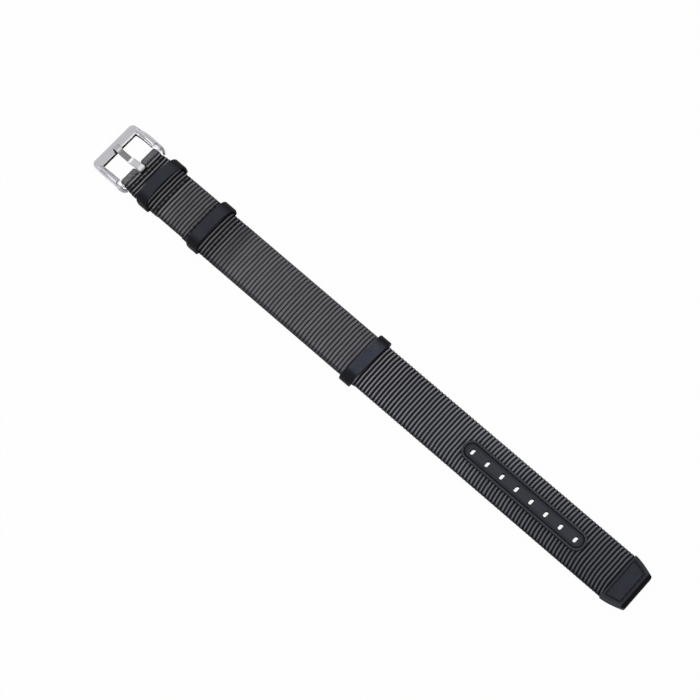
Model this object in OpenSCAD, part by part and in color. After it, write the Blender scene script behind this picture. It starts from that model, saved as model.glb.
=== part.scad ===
// Watch strap of ribbed nylon webbing with leather keepers, hole strip and tip.
// It lies flat, outer face up: buckle at -X, tip at +X, width along Y.
// Places along the strap are measured from the axis of the buckle's bar.

/* [Webbing] */
// Width of the webbing
strap_w = 20; // [18:1:24]
// Thickness of one layer of webbing
webbing_t = 1.2; // [1.0:0.05:1.4]
// How far each edge of the webbing draws in where it is folded round the bar
fold_step = 0.8; // [0.6:0.1:1.4]
// Bar axis to the place where the webbing has its full width
taper_l = 5; // [4:0.5:9]
// Bar axis to the end of the folded-back webbing
fold_l = 17.6; // [17.2:0.2:18]
// Bar axis to the start of the flap sewn under the strap
flap_x = 30; // [29.6:0.1:30.2]
// Bar axis to the far end of the strap
strap_l = 245.6; // [243:0.4:250]

/* [Bends] */
// Bar axis to the first bend on the buckle's side
head_bend_x = 20.6; // [20:0.1:21]
// Bar axis to the second bend on the buckle's side
neck_bend_x = 27; // [26:0.2:28]
// Distance between two bends of the tail
tail_bend_pitch = 10; // [9:0.25:10.5]
// Distance from the tail's last bend to the hole strip
tail_bend_gap = 6.6; // [4:0.2:7]
// Distance from the bend before the tip to the leather tip
tip_bend_gap = 8; // [6:0.5:10]
// Gap between two webbing sections at a bend
bend_gap = 0.06; // [0.04:0.01:0.1]

/* [Seams] */
// Bar axis to the seam next to the bar
seam_bar_x = 3.3; // [3.2:0.1:3.8]
// Bar axis to the seam past the first keeper
seam_keeper_1_x = 16.2; // [16:0.1:16.6]
// Bar axis to the seam before the second keeper
seam_flap_x = 31.5; // [31.2:0.1:31.6]
// Bar axis to the seam past the second keeper
seam_keeper_2_x = 42; // [41.8:0.1:42.4]
// Length of one stitch
stitch_l = 1.7; // [1.4:0.05:1.8]
// Distance from one stitch to the next
stitch_pitch = 2.2; // [2.1:0.05:2.6]
// Half thickness of the thread
thread_r = 0.22; // [0.15:0.01:0.3]

/* [Leather keepers] */
// Width of a keeper along the strap
keeper_w = 5; // [4.6:0.1:5.2]
// Thickness of the keeper leather
keeper_t = 1; // [0.9:0.05:1.2]
// Thickness of a keeper's leg between the layers of webbing
leg_t = 0.9; // [0.8:0.05:0.9]
// Side gap between a keeper and the webbing's edge
keeper_side_gap = 0.2; // [0.15:0.05:0.3]
// Height of the space under an open keeper's band
keeper_room = 3.4; // [3:0.1:3.8]
// Lean of the first keeper's band towards the buckle
keeper_1_lean = 2.1; // [1:0.1:2.4]
// Lean of the second keeper's band towards the buckle
keeper_2_lean = 1.2; // [0.6:0.1:2.4]
// Corner radius of a keeper
keeper_r = 2; // [1.6:0.1:2.2]
// Bar axis to the buckle side of the first keeper
keeper_1_x = 9.1; // [9:0.1:9.4]
// Bar axis to the buckle side of the second keeper
keeper_2_x = 34.4; // [34.2:0.1:34.6]
// Distance from the third keeper to the first bend past it
keeper_3_gap = 9.2; // [3:0.2:10]
// Thickness of the third keeper's leather
keeper_3_t = 1.2; // [1:0.05:1.4]
// Space under the third keeper's band
keeper_3_room = 0.5; // [0.4:0.05:0.8]
// Thickness of the third keeper's leg under the flap
keeper_3_leg_t = 0.7; // [0.6:0.05:0.8]

/* [Leather hole strip] */
// Distance from the hole strip to the leather tip
strip_gap = 15.7; // [15:0.1:17]
// Length of the hole strip
strip_l = 57.5; // [57:0.1:59]
// Width of the hole strip
strip_w = 8; // [7.6:0.1:9]
// Thickness of the leather of strip and tip
leather_t = 1.2; // [1:0.05:1.3]
// Corner radius of the hole strip
strip_r = 3.7; // [2:0.1:3.8]
// Number of holes
holes = 8; // [6:1:8]
// Distance from the strip's ends to its first and last hole
hole_edge = 4.25; // [4:0.05:5.5]
// Length of a hole across the strap
hole_l = 2.7; // [2.5:0.1:3]
// Width of a hole along the strap
hole_w = 1.5; // [1.3:0.1:1.9]
// Distance of the strip's stitches from its edge
strip_inset = 1.1; // [0.7:0.05:1.2]

/* [Leather tip] */
// Length of the leather tip
tip_l = 9.6; // [9:0.1:11]
// How far each side of the tip draws in towards its square end
tip_draw = 2.4; // [1.8:0.1:3]
// Leather beyond the webbing's edge at the tip
tip_rim = 0.1; // [0.05:0.05:0.3]
// Leather beyond the webbing's end
tip_lip = 1.4; // [1.2:0.1:1.6]
// Distance of the tip's stitches from its sides
tip_inset = 1.9; // [1.6:0.1:2.2]
// Distance of the tip's last row of stitches from its end
tip_seam_gap = 2.8; // [2.6:0.1:3.6]

/* [Buckle] */
// Bar axis to the front edge of the buckle
buckle_l = 15.2; // [15:0.1:16.5]
// How far the buckle stands out beyond each edge of the webbing
buckle_rim = 1.85; // [1.6:0.05:2.2]
// Width of a side arm
arm_w = 3; // [2.6:0.1:3.2]
// Length of the front bar along the strap
front_bar_l = 4; // [3.4:0.1:4.2]
// Thickness of the buckle's metal
buckle_t = 2.4; // [2.2:0.05:2.6]
// Rise of the side arms above a straight line
arm_rise = 1.4; // [0.8:0.1:1.8]
// Thickness of a lug beside the webbing
lug_t = 0.9; // [0.8:0.05:1.1]
// How much narrower the buckle is at its front than where it is widest
side_bulge = 0.95; // [0.5:0.05:1.2]
// Bar axis to the place where the buckle is widest
widest_x = 5; // [4:0.1:6]
// Radius of the buckle's front corners
corner_r = 1.9; // [1.6:0.1:2.8]
// Bar axis to the rear end of a lug
lug_tail = 2.9; // [2.2:0.1:3]
// Gap between the webbing's fold and the place where an arm narrows into its lug
lug_gap = 0.4; // [0.35:0.05:1]
// Radius of the corner where an arm narrows into its lug
lug_corner_r = 0.5; // [0.3:0.05:0.8]
// Bar axis to the place where a lug's tail turns in
hook_x = 1.1; // [1:0.05:1.5]
// How far a lug's tail turns in towards the webbing
lug_hook = 0.75; // [0.3:0.05:0.8]
// How far the outside of a lug's tail is rounded off
tail_round = 0.9; // [0.4:0.05:1]

/* [Bar and tongue] */
// Radius of the bar's barrel
bar_r = 0.8; // [0.75:0.01:0.9]
// Running clearance round the barrel and the pin ends
run_gap = 0.05; // [0.03:0.01:0.08]
// Wall of the barrel
barrel_wall = 0.25; // [0.2:0.01:0.3]
// Radius of a pin end in its lug
pin_r = 0.35; // [0.3:0.01:0.38]
// Travel of a pin end
pin_travel = 1.1; // [1:0.05:1.15]
// Length of a pin's foot inside the barrel
pin_foot_l = 2.8; // [2.4:0.1:3.2]
// Thickness of the tongue
tongue_t = 0.65; // [0.6:0.05:0.8]
// Width of the tongue next to the bar
tongue_w = 2.9; // [2.6:0.1:3.4]
// Width of the tongue's front half
tongue_front_w = 2.5; // [2.2:0.1:2.8]
// Side gap of the tongue in the webbing's slot and in its notch
tongue_gap = 0.3; // [0.2:0.05:0.5]
// How far the tongue's middle dips below its tip
tongue_dip = 0.9; // [0.6:0.05:1.1]
// Bar axis to the tongue's bend
tongue_bend_x = 5.5; // [5:0.1:6.4]
// Wall left in front of the tongue's notch
notch_wall = 1.8; // [1.1:0.1:2.2]

/* [Hidden] */
$fn = 48;

webbing_grey = [0.24, 0.24, 0.25];
leather_black = [0.11, 0.115, 0.14];
thread_black = [0.04, 0.04, 0.05];
steel = [0.74, 0.74, 0.77];

cut = 0.5;                              // how far a cutting solid runs past the face it cuts
weld = 0.03;                            // how deep one shape runs into another that it joins
pocket_gap = 0.05;                      // clearance above and below a keeper's leg
seam_half = 0.8;                        // half of the sewn width at a seam
mid_x = (strap_l - buckle_l) / 2;       // bar axis to the middle of the whole strap
fold_w = strap_w - 2 * fold_step;       // width of the webbing round the bar
buckle_w = strap_w + 2 * buckle_rim;
window_w = buckle_w - 2 * arm_w;
top_z = 2 * webbing_t;                  // outer face of the strap
bend_z = 1.5 * webbing_t;               // middle of the upper webbing layer
bend_r = webbing_t / 2;                 // half-round end of a webbing section
bore_r = bar_r + run_gap;               // bore of the webbing and the tongue round the barrel
fold_r = bore_r + webbing_t;            // outside of the webbing round the bar
bar_z = fold_r;                         // height of the bar's axis
pinch_x = seam_bar_x - seam_half;       // where the two layers meet behind the bar
tip_x = strap_l - tip_l;                // start of the leather tip
tip_bend_x = tip_x - tip_bend_gap;
strip_x = tip_x - strip_gap - strip_l;  // start of the hole strip
hole_pitch = (strip_l - 2 * hole_edge) / (holes - 1);
tail_bend_x = strip_x - tail_bend_gap - 3 * tail_bend_pitch;
keeper_3_x = tail_bend_x - keeper_3_gap - keeper_w;
tip_start_w = strap_w + 2 * tip_rim;    // width of the tip where it starts
tip_curve = 1.6;                        // power by which the tip's sides draw in
webbing_end_x = strap_l - tip_lip;      // end of the webbing inside the tip
keeper_in = strap_w / 2 + keeper_side_gap;
leg_low_z = webbing_t - leg_t / 2;      // underside of an open keeper's leg
barrel_side = 0.7;                      // how far the barrel runs out beside the webbing
barrel_l = fold_w + 2 * barrel_side;    // length of the barrel
lug_in = buckle_half(0) - lug_t;        // bar's middle to the inner face of a lug
pin_sink = 0.2;                         // how far a pin's end lies below its lug's outer face
pin_end = buckle_half(0) - pin_sink;    // bar's middle to the end of a pin
barrel_lip = 0.25;                      // end wall that keeps a pin's foot in the barrel
foot_r = bar_r - barrel_wall - run_gap;
foot_out = barrel_l / 2 - barrel_lip;   // bar's middle to the outer end of a pin's foot
spring_r = foot_r - run_gap;
notch_d = tongue_t + 2 * pocket_gap;    // depth of the tongue's notch
window_x = buckle_l - front_bar_l;      // bar axis to the inner edge of the front bar
recess_x = fold_r + lug_gap;            // bar axis to the front end of the space beside the fold
slot_back = bore_r + tongue_t + tongue_gap;
front_z = buckle_t / 2;                 // mid height of the front bar
lug_r = buckle_t / 2;                   // radius of a lug's rear end

// Puts a piece that is drawn from the bar axis into the part's own frame
module from_bar(x = 0) {
    translate([x - mid_x, 0, 0]) children();
}

// Extrudes an outline of the strap's side view, drawn in X and Z, across the strap
module across(width) {
    rotate([90, 0, 0]) translate([0, 0, -width / 2]) linear_extrude(width) children();
}

// Point where a line from p touches a circle round c that is a hair smaller than r
function touch(c, r, p, side) =
    let (v = p - c, a = atan2(v[1], v[0]) + side * acos((r - weld) / norm(v)))
    c + (r - weld) * [cos(a), sin(a)];

// Cylinder across the strap with a wedge-shaped tail that ends in the point p
module drop(width, c, r, p) {
    across(width) translate(c) circle(r);
    across(width) polygon([c, touch(c, r, p, -1), p, touch(c, r, p, 1)]);
}

// Side view of an upper webbing section between two bends, rounded where it starts
module section_side(x0, x1, round_start) {
    if (round_start) translate([x0, bend_z]) circle(bend_r);
    translate([x0, webbing_t]) square([x1 - x0, webbing_t]);
}

// Upper webbing section; flat ends stop short of the rounded start of the next one
module webbing_section(x0, x1) {
    across(strap_w) section_side(x0, x1 - bend_r - bend_gap, true);
}

// Plan of the webbing at the buckle's end, narrower round the bar
module head_plan(x1) {
    polygon([[-fold_r - cut, -fold_w / 2], [pinch_x / 2, -fold_w / 2], [taper_l, -strap_w / 2],
        [x1, -strap_w / 2], [x1, strap_w / 2], [taper_l, strap_w / 2],
        [pinch_x / 2, fold_w / 2], [-fold_r - cut, fold_w / 2]]);
}

// Space between the layers in which an open keeper's leg slides, from one seam to the next
module keeper_tunnel(seam_a, seam_b) {
    translate([seam_a + seam_half, -strap_w, leg_low_z - pocket_gap])
        cube([seam_b - seam_a - 2 * seam_half, 2 * strap_w, leg_t + 2 * pocket_gap]);
}

// One hole of the tail, slotted across the strap
module tongue_hole() {
    height = top_z + leather_t + 2 * cut;
    for (side = [-1, 1])
        translate([0, side * (hole_l - hole_w) / 2, -cut]) cylinder(r = hole_w / 2, h = height);
    translate([-hole_w / 2, -(hole_l - hole_w) / 2, -cut])
        cube([hole_w, hole_l - hole_w, height]);
}

module tongue_holes() {
    for (i = [0 : holes - 1]) translate([strip_x + hole_edge + i * hole_pitch, 0, 0]) tongue_hole();
}

// Plan of the hole strip, a rectangle with round corners
module strip_plan() {
    for (x = [strip_x + strip_r, strip_x + strip_l - strip_r], side = [-1, 1])
        translate([x, side * (strip_w / 2 - strip_r)]) circle(strip_r);
    translate([strip_x + strip_r, -strip_w / 2]) square([strip_l - 2 * strip_r, strip_w]);
    translate([strip_x, -strip_w / 2 + strip_r]) square([strip_l, strip_w - 2 * strip_r]);
}

// Half width of the tip's plan at a share s of its length, less an inset
function tip_half(s, inset) = tip_start_w / 2 - inset - tip_draw * pow(s, tip_curve);

// Plan of the tip from x0 to x1, drawn in by an inset at its sides
module tip_plan(x0, x1, inset) {
    steps = 8;
    edge = [for (i = [0 : steps]) let (x = x0 + (x1 - x0) * i / steps)
        [x, tip_half(max(0, x - tip_x) / tip_l, inset)]];
    polygon(concat(edge, [for (i = [steps : -1 : 0]) [edge[i][0], -edge[i][1]]]));
}

// Rounded rectangle in Y and Z, as points: upper corners of radius r, lower ones of low_r
function ring_points(half_w, z0, z1, r, low_r, n) =
    [for (corner = [[1, r, 0], [-1, r, 90], [-1, low_r, 180], [1, low_r, 270]], i = [0 : n])
        let (a = corner[2] + 90 * i / n, q = corner[1])
        [corner[0] * (half_w - q) + q * cos(a),
         (corner[2] < 180 ? z1 - q : z0 + q) + q * sin(a)]];

// Leather loop round the strap; its leg is at z0 and its band, at z1, leans by lean
module leather_loop(z0, z1, leg, band, lean) {
    n = 6;
    outer = ring_points(keeper_in + band, z0, z1, keeper_r, keeper_side_gap + leg, n);
    inner = ring_points(keeper_in, z0 + leg, z1 - band, keeper_r - band, keeper_side_gap, n);
    count = len(outer);
    function shift(z) = -lean * max(0, z - z0 - leg) / (z1 - z0 - leg);
    points = [for (i = [0 : count - 1])
        for (q = [[outer[i], 0], [outer[i], keeper_w], [inner[i], keeper_w], [inner[i], 0]])
            [q[1] + shift(q[0][1]), q[0][0], q[0][1]]];
    faces = [for (i = [0 : count - 1], k = [0 : 3])
        let (j = (i + 1) % count, m = (k + 1) % 4,
             a = 4 * i + k, b = 4 * i + m, c = 4 * j + m, d = 4 * j + k)
        each [[a, c, b], [a, d, c]]];
    polyhedron(points, faces);
}

module open_keeper(x, lean) {
    color(leather_black) from_bar(x)
        leather_loop(leg_low_z, top_z + keeper_room + keeper_t, leg_t, keeper_t, lean);
}

// One stitch: half a thread lying on a face, along X
module stitch() {
    rotate([90, 0, 90]) translate([0, 0, -stitch_l / 2]) linear_extrude(stitch_l)
        intersection() {
            circle(thread_r, $fn = 24);
            translate([-thread_r, 0]) square([2 * thread_r, thread_r]);
        }
}

// A row of stitches centred on the origin, along X
module stitch_row(length) {
    count = floor(length / stitch_pitch);
    for (i = [0 : count - 1])
        translate([(i - (count - 1) / 2) * stitch_pitch, 0, 0]) stitch();
}

module cross_seam(x) {
    color(thread_black) from_bar(x) translate([0, 0, top_z])
        rotate([0, 0, 90]) stitch_row(fold_w - stitch_pitch);
}

// Mid height of the buckle's metal at a share s from its front to the bar axis
function arm_z(s) =
    front_z + (bar_z - front_z) * s
    + (s < front_share ? 0 : arm_rise * sin(180 * (s - front_share) / (1 - front_share)));
front_share = front_bar_l / buckle_l;

// Half width of the buckle's outline at a place along the strap
function buckle_half(x) =
    buckle_w / 2 - side_bulge * pow((x + widest_x) / (buckle_l - widest_x), 2);

// Side of the buckle, extruded: arched arms that end in round lugs
module buckle_side() {
    steps = 24;
    line = [for (i = [0 : steps]) let (s = i / steps) [buckle_l * (s - 1), arm_z(s)]];
    across(buckle_w) translate([0, bar_z]) circle(fold_r);
    across(buckle_w) translate([lug_tail - lug_r, bar_z]) circle(lug_r);
    across(buckle_w) translate([0, bar_z - lug_r]) square([lug_tail - lug_r, 2 * lug_r]);
    across(buckle_w) polygon(concat([for (p = line) p + [0, buckle_t / 2]],
        [for (i = [steps : -1 : 0]) line[i] - [0, buckle_t / 2]]));
}

// Plan of the buckle: front bar, two arms with bulging sides and their thinner lugs
module buckle_plan() {
    steps = 12;
    corner_x = corner_r - buckle_l;
    corner = [for (i = [0 : steps]) let (a = 90 * i / steps)
        [corner_x - corner_r * cos(a), buckle_half(corner_x) - corner_r * (1 - sin(a))]];
    arm = [for (i = [1 : steps]) let (x = corner_x + (hook_x - corner_x) * i / steps)
        [x, buckle_half(x)]];
    tail = [for (i = [1 : steps / 2]) let (s = 2 * i / steps, x = hook_x + (lug_tail - hook_x) * s)
        [x, buckle_half(x) - tail_round * s * s]];
    edge = concat(corner, arm, tail);
    hook = [[lug_corner_r - recess_x, lug_in], [hook_x, lug_in],
        [(hook_x + lug_tail) / 2, lug_in - lug_hook], [lug_tail + cut, lug_in - lug_hook]];
    difference() {
        polygon(concat(edge, [for (i = [len(edge) - 1 : -1 : 0]) [edge[i][0], -edge[i][1]]]));
        translate([-window_x, -window_w / 2]) square([window_x + lug_tail + cut, window_w]);
        polygon(concat(hook, [for (i = [3 : -1 : 0]) [hook[i][0], -hook[i][1]]]));
        for (side = [-1, 1]) hull() for (y = [window_w / 2, lug_in])
            translate([lug_corner_r - recess_x, side * (y - lug_corner_r)]) circle(lug_corner_r);
    }
}

// Side of the tongue, extruded: a loop round the bar, a dip and a level tip
module tongue_side() {
    rest_z = buckle_t - pocket_gap;
    low_z = rest_z - tongue_dip;
    loop_r = bore_r + tongue_t;
    top_line = [[notch_wall + pocket_gap - buckle_l, rest_z], [pocket_gap - window_x, rest_z],
        [1.3 * tongue_dip - window_x, low_z], [-tongue_bend_x, low_z]];
    root = touch([0, bar_z], loop_r, top_line[3], -1);
    difference() {
        union() {
            across(tongue_w) translate([0, bar_z]) circle(loop_r);
            across(tongue_w) polygon(concat(top_line, [root, root - [0, tongue_t]],
                [for (i = [3 : -1 : 0]) top_line[i] - [0, tongue_t]]));
        }
        across(tongue_w + cut) translate([0, bar_z]) circle(bore_r);
    }
}

module pin(side) {
    color(steel) from_bar() translate([0, 0, bar_z]) rotate([-90 * side, 0, 0]) {
        translate([0, 0, foot_out - pin_foot_l]) cylinder(r = foot_r, h = pin_foot_l);
        translate([0, 0, foot_out - cut]) cylinder(r = pin_r, h = pin_end - foot_out + cut);
    }
}

// Webbing folded round the bar, from its folded-back end to the first bend
module webbing_head() {
    color(webbing_grey) from_bar() intersection() {
        difference() {
            union() {
                across(strap_w) translate([0, bar_z]) circle(fold_r);
                across(strap_w) polygon([[0, bar_z], touch([0, bar_z], fold_r, [pinch_x, top_z], 1),
                    [pinch_x, top_z], [fold_l, top_z], [fold_l, 0], [bar_r / 2, 0]]);
                across(strap_w) section_side(pinch_x, head_bend_x - bend_r - bend_gap, false);
            }
            drop(strap_w + cut, [0, bar_z], bore_r, [pinch_x - seam_half, webbing_t]);
            keeper_tunnel(seam_bar_x, seam_keeper_1_x);
            translate([-fold_r - cut, -tongue_w / 2 - tongue_gap, -cut])
                cube([fold_r + cut + slot_back, tongue_w + 2 * tongue_gap, 2 * fold_r + 2 * cut]);
        }
        linear_extrude(2 * fold_r) head_plan(head_bend_x);
    }
}

module webbing_neck() {
    color(webbing_grey) from_bar() webbing_section(head_bend_x, neck_bend_x);
}

module webbing_middle() {
    color(webbing_grey) from_bar() difference() {
        webbing_section(neck_bend_x, tail_bend_x);
        keeper_tunnel(seam_flap_x, seam_keeper_2_x);
    }
}

// Section of the tail from its bend i to the next one
module tail_section(i) {
    color(webbing_grey) from_bar()
        webbing_section(tail_bend_x + i * tail_bend_pitch, tail_bend_x + (i + 1) * tail_bend_pitch);
}

module webbing_tail_1() {
    tail_section(0);
}

module webbing_tail_2() {
    tail_section(1);
}

module webbing_tail_3() {
    tail_section(2);
}

module webbing_holes() {
    color(webbing_grey) from_bar() difference() {
        webbing_section(tail_bend_x + 3 * tail_bend_pitch, tip_bend_x);
        tongue_holes();
    }
}

module webbing_tip() {
    color(webbing_grey) from_bar() intersection() {
        across(strap_w) section_side(tip_bend_x, webbing_end_x, true);
        linear_extrude(top_z) tip_plan(tip_bend_x - bend_r, webbing_end_x, tip_rim);
    }
}

// Second layer of webbing, sewn under the strap, that carries the third keeper
module flap() {
    color(webbing_grey) from_bar() difference() {
        translate([flap_x, -strap_w / 2, 0])
            cube([keeper_3_x + keeper_w - flap_x, strap_w, webbing_t]);
        keeper_tunnel(seam_flap_x, seam_keeper_2_x);
        translate([keeper_3_x, -strap_w, -cut])
            cube([keeper_w + cut, 2 * strap_w, keeper_3_leg_t + cut]);
    }
}

module keeper_1() {
    open_keeper(keeper_1_x, keeper_1_lean);
}

module keeper_2() {
    open_keeper(keeper_2_x, keeper_2_lean);
}

module keeper_3() {
    color(leather_black) from_bar(keeper_3_x)
        leather_loop(0, top_z + keeper_3_room + keeper_3_t, keeper_3_leg_t, keeper_3_t, 0);
}

module hole_strip() {
    color(leather_black) from_bar() difference() {
        translate([0, 0, top_z]) linear_extrude(leather_t) strip_plan();
        tongue_holes();
    }
}

module hole_strip_lining() {
    color(leather_black) from_bar() difference() {
        linear_extrude(webbing_t) strip_plan();
        tongue_holes();
    }
}

// One ply of the tip's leather, from z0 to z1, hollowed for the end of the webbing
module tip_ply(z0, z1) {
    color(leather_black) from_bar() difference() {
        translate([0, 0, z0]) linear_extrude(z1 - z0) tip_plan(tip_x, strap_l, 0);
        translate([0, 0, webbing_t]) linear_extrude(webbing_t)
            tip_plan(tip_x - cut, webbing_end_x, tip_rim);
    }
}

module tip_leather() {
    tip_ply(bend_z, top_z + leather_t);
}

module tip_lining() {
    tip_ply(0, bend_z);
}

module seam_bar() {
    cross_seam(seam_bar_x);
}

module seam_keeper_1() {
    cross_seam(seam_keeper_1_x);
}

module seam_flap() {
    cross_seam(seam_flap_x);
}

module seam_keeper_2() {
    cross_seam(seam_keeper_2_x);
}

module strip_stitching() {
    arc_r = strip_r - strip_inset;
    stitch_turn = 2 * asin(stitch_pitch / 2 / arc_r);
    count = floor(180 / stitch_turn);
    color(thread_black) from_bar() translate([0, 0, top_z + leather_t]) {
        for (side = [-1, 1])
            translate([strip_x + strip_l / 2, side * (strip_w / 2 - strip_inset), 0])
                stitch_row(strip_l - 2 * strip_r);
        for (end = [[strip_x + strip_r, 180], [strip_x + strip_l - strip_r, 0]], i = [0 : count - 1])
            translate([end[0], 0, 0]) rotate([0, 0, end[1] + (i - (count - 1) / 2) * stitch_turn])
                translate([arc_r, 0, 0]) rotate([0, 0, 90]) stitch();
    }
}

module tip_stitching() {
    x0 = tip_x + tip_inset / 2;
    x1 = strap_l - tip_seam_gap;
    w0 = 2 * tip_half(0, tip_inset);
    w1 = 2 * tip_half((x1 - tip_x) / tip_l, tip_inset);
    color(thread_black) from_bar() translate([0, 0, top_z + leather_t]) {
        translate([x0, 0, 0]) rotate([0, 0, 90]) stitch_row(w0);
        translate([x1, 0, 0]) rotate([0, 0, 90]) stitch_row(w1);
        for (side = [-1, 1])
            translate([(x0 + x1) / 2, side * (w0 + w1) / 4, 0])
                rotate([0, 0, -side * atan2((w0 - w1) / 2, x1 - x0)])
                    stitch_row(x1 - x0 - stitch_pitch / 2);
    }
}

module buckle_frame() {
    color(steel) from_bar() difference() {
        intersection() {
            linear_extrude(bar_z + fold_r + buckle_t + arm_rise) buckle_plan();
            buckle_side();
        }
        translate([0, 0, bar_z]) rotate([90, 0, 0])
            cylinder(r = pin_r + run_gap, h = buckle_w + 2 * cut, center = true);
        translate([notch_wall - buckle_l, -tongue_front_w / 2 - tongue_gap, buckle_t - notch_d])
            cube([front_bar_l, tongue_front_w + 2 * tongue_gap, buckle_t]);
    }
}

module tongue() {
    color(steel) from_bar() intersection() {
        tongue_side();
        linear_extrude(2 * fold_r + tongue_t) union() {
            translate([-buckle_l, -tongue_front_w / 2]) square([buckle_l, tongue_front_w]);
            translate([-tongue_bend_x, -tongue_w / 2])
                square([tongue_bend_x + slot_back, tongue_w]);
        }
    }
}

module bar_barrel() {
    color(steel) from_bar() translate([0, 0, bar_z]) rotate([90, 0, 0]) difference() {
        cylinder(r = bar_r, h = barrel_l, center = true);
        cylinder(r = bar_r - barrel_wall, h = 2 * foot_out, center = true);
        cylinder(r = pin_r + run_gap, h = barrel_l + 2 * cut, center = true);
    }
}

// The coil inside the barrel, as a plain sleeve of its pressed length
module bar_spring() {
    length = 2 * (foot_out - pin_foot_l - pin_travel - run_gap);
    color(steel) from_bar() translate([0, 0, bar_z]) rotate([90, 0, 0]) difference() {
        cylinder(r = spring_r, h = length, center = true);
        cylinder(r = spring_r / 2, h = length + 2 * cut, center = true);
    }
}

module pin_left() {
    pin(-1);
}

module pin_right() {
    pin(1);
}

webbing_head();
webbing_neck();
webbing_middle();
webbing_tail_1();
webbing_tail_2();
webbing_tail_3();
webbing_holes();
webbing_tip();
flap();
keeper_1();
keeper_2();
keeper_3();
hole_strip();
hole_strip_lining();
tip_leather();
tip_lining();
seam_bar();
seam_keeper_1();
seam_flap();
seam_keeper_2();
strip_stitching();
tip_stitching();
buckle_frame();
tongue();
bar_barrel();
bar_spring();
pin_left();
pin_right();
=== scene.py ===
"""Nylon and leather watch strap, lying flat: the looks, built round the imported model.

Sizes are in millimetres. Places along the strap, like x here, are measured from the axis of the buckle's bar;
at() turns such a point into the frame's metres.
"""

import math
from collections import namedtuple

import bmesh
import bpy
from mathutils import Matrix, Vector, geometry, noise


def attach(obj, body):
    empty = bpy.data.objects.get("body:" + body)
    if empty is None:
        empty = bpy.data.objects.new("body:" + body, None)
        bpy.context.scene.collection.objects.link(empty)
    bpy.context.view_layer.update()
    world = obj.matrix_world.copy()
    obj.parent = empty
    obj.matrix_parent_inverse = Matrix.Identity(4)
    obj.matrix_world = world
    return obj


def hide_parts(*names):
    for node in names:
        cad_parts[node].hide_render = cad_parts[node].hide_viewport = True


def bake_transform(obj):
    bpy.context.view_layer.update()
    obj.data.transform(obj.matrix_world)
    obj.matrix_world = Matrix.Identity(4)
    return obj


MM = 0.001
MID = 115.2  # bar axis to the middle of the strap
RIB, RIB_DEPTH = 1.5, 0.3  # from rib to rib, and how deep the grooves are
RIB_RINGS = 10  # rings of points to a rib
WEBBING_T, TOP_Z = 1.2, 2.4
UPPER_Z, LOWER_Z = 1.8, 0.6  # middle of each webbing layer
BAR_Z, BORE_R = 2.05, 0.85
HALF_W, FOLD_HALF = 10.0, 9.2  # half widths of the webbing and of its fold round the bar
SEAMS = {"seam_bar": 3.3, "seam_keeper_1": 16.2, "seam_flap": 31.5, "seam_keeper_2": 42.0}
STRIP_X, STRIP_L, STRIP_W, STRIP_R = 162.8, 57.5, 8.0, 3.7
HOLES, HOLE_X, HOLE_PITCH, HOLE_L, HOLE_W = 8, 167.05, 7.0, 2.6, 1.2
TIP_X, TIP_L, TIP_HALF, TIP_DRAW, TIP_CURVE = 236.0, 9.6, 10.1, 2.4, 1.6
LEATHER_T = 1.2

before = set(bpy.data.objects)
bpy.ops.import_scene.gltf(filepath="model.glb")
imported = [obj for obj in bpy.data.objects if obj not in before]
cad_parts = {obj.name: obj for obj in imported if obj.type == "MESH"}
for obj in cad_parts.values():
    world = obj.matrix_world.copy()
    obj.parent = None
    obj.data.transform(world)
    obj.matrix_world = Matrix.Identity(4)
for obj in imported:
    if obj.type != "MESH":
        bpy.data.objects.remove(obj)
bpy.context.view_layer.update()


def at(x, y, z):
    """A point given from the bar's axis, as a point of the frame."""
    return Vector(((x - MID) * MM, y * MM, z * MM))


def smooth(a, b, x):
    """0 before a, 1 after b, and a soft step between them."""
    t = min(1.0, max(0.0, (x - a) / (b - a)))
    return t * t * (3 - 2 * t)


def stretch(a, b, c, d, x):
    """1 between b and c, 0 outside a and d, and soft steps between them."""
    return smooth(a, b, x) * (1 - smooth(c, d, x))


# ---------------------------------------------------------------- meshes


def mesh_object(name, verts, faces, weave=None, edge=None):
    """A smooth-shaded object from points in millimetres, with its weave coordinates or its painted edges, if any."""
    mesh = bpy.data.meshes.new(name)
    mesh.from_pydata([at(*p) for p in verts], [], faces)
    if weave:
        layer = mesh.attributes.new("weave", "FLOAT_VECTOR", "POINT")
        layer.data.foreach_set("vector", [v for w in weave for v in w])
    if edge:
        mesh.attributes.new("edge", "FLOAT", "POINT").data.foreach_set("value", edge)
    bm = bmesh.new()
    bm.from_mesh(mesh)
    bmesh.ops.recalc_face_normals(bm, faces=bm.faces)
    bm.to_mesh(mesh)
    bm.free()
    mesh.polygons.foreach_set("use_smooth", [True] * len(mesh.polygons))
    obj = bpy.data.objects.new(name, mesh)
    bpy.context.scene.collection.objects.link(obj)
    return obj


class Parts:
    """Vertices and faces of several lofts that end up in one object."""

    def __init__(self):
        self.verts, self.faces, self.weave, self.edge = [], [], [], []

    def loft(self, rings, closed_path=False, weave=None, edge=None):
        """Quads through rings of points; the ends are capped unless the path closes on itself."""
        base, n, count = len(self.verts), len(rings[0]), len(rings)
        self.verts += [p for r in rings for p in r]
        if weave:
            self.weave += [w for r in weave for w in r]
        if edge:
            self.edge += edge * count
        for i in range(count if closed_path else count - 1):
            j = (i + 1) % count
            for k in range(n):
                m = (k + 1) % n
                row, next_row = base + i * n, base + j * n
                self.faces.append((row + k, row + m, next_row + m, next_row + k))
        if not closed_path:
            self.faces.append(tuple(base + k for k in range(n))[::-1])
            self.faces.append(tuple(base + (count - 1) * n + k for k in range(n)))

    def build(self, name):
        return mesh_object(name, self.verts, self.faces, self.weave, self.edge)


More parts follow.
